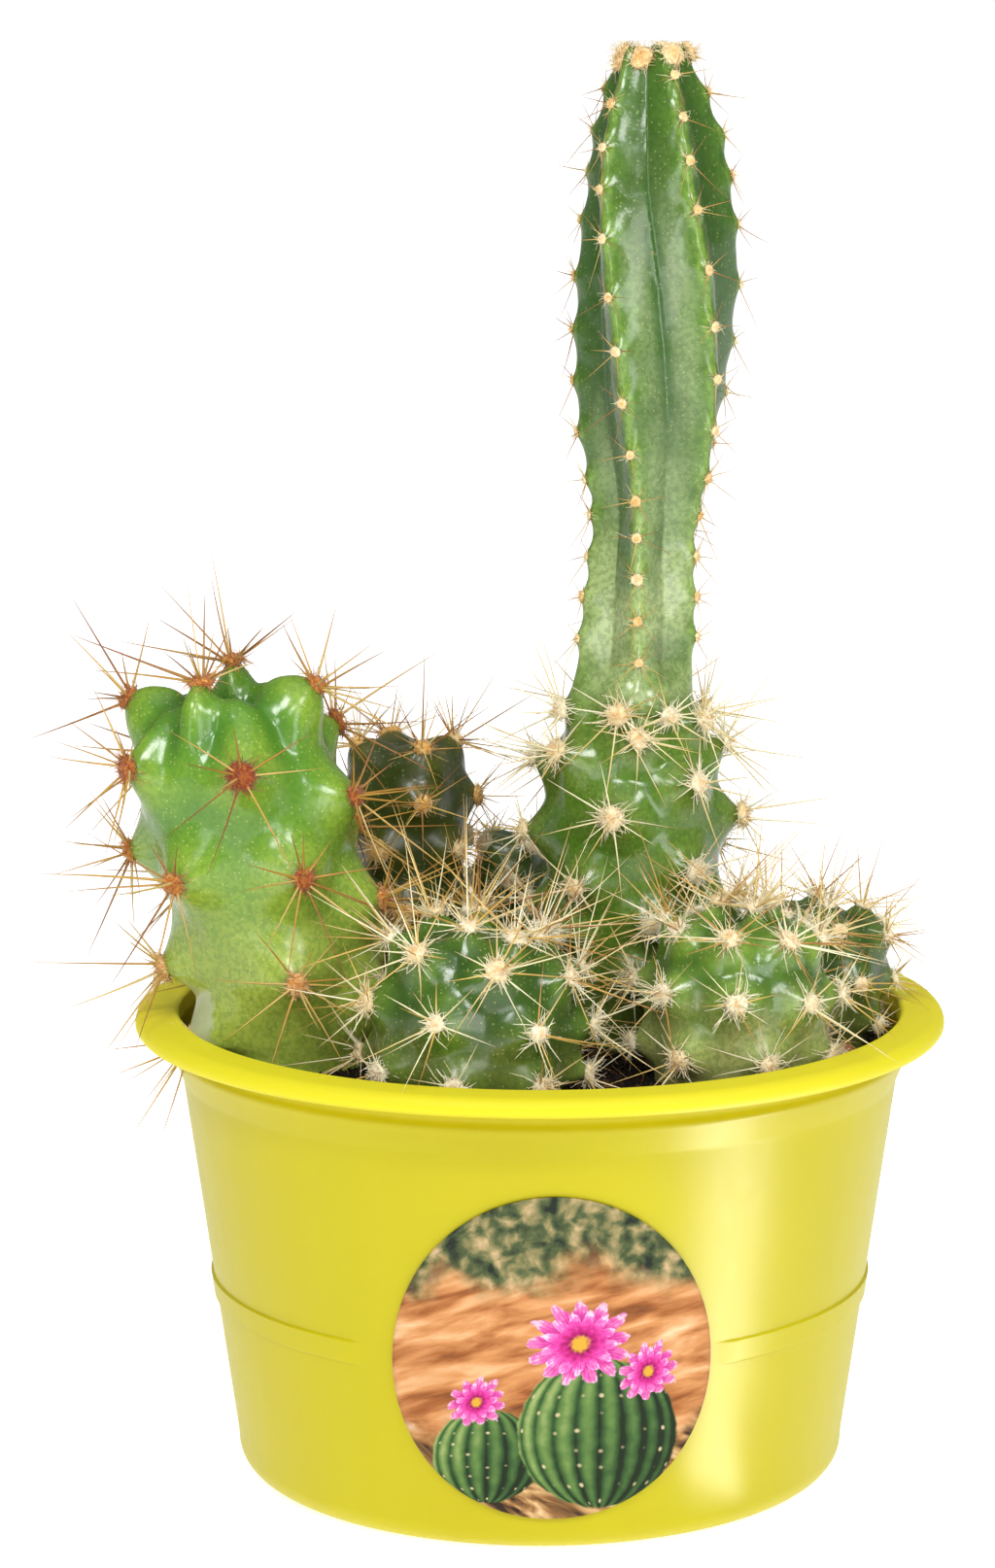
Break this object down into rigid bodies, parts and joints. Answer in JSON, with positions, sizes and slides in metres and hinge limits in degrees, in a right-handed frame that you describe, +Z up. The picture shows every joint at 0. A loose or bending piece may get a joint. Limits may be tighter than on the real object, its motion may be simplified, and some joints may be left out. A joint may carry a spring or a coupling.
{
  "type": "potted cactus arrangement",
  "caption": "Small columnar and globular cacti with ribs, tubercles and spines, planted together in soil in a round flanged plastic pot.",
  "frame": {"origin": "centre of the flat underside of the pot, on the surface it stands on", "axes": "+Z up out of the pot, +X to the right and -Y towards the front, where the round sticker is"},
  "size_m": [0.1349, 0.12, 0.211],
  "materials": {
    "pot_plastic": "glossy yellow moulded plastic",
    "sticker_print": "satin printed film, desert scene in sand, green and pink",
    "potting_soil": "dark crumbly potting soil",
    "bark_dark": "rough red-brown bark",
    "bark_tan": "rough tan bark",
    "skin_left": "waxy light green skin",
    "skin_tall": "waxy mid green skin",
    "skin_front": "waxy dark green skin",
    "skin_right": "waxy green skin",
    "skin_right_back": "waxy dark green skin",
    "skin_back": "waxy dark green skin",
    "skin_small": "waxy grey green skin"
  },
  "bodies": {
    "root": {"pot": "pot_plastic", "sticker": "sticker_print", "soil": "potting_soil", "bark_dark": "bark_dark", "bark_tan": "bark_tan", "cactus_left": "skin_left", "cactus_tall": "skin_tall", "cactus_front": "skin_front", "cactus_right": "skin_right", "cactus_right_back": "skin_right_back", "cactus_back": "skin_back", "cactus_small": "skin_small"}
  },
  "joints": []
}
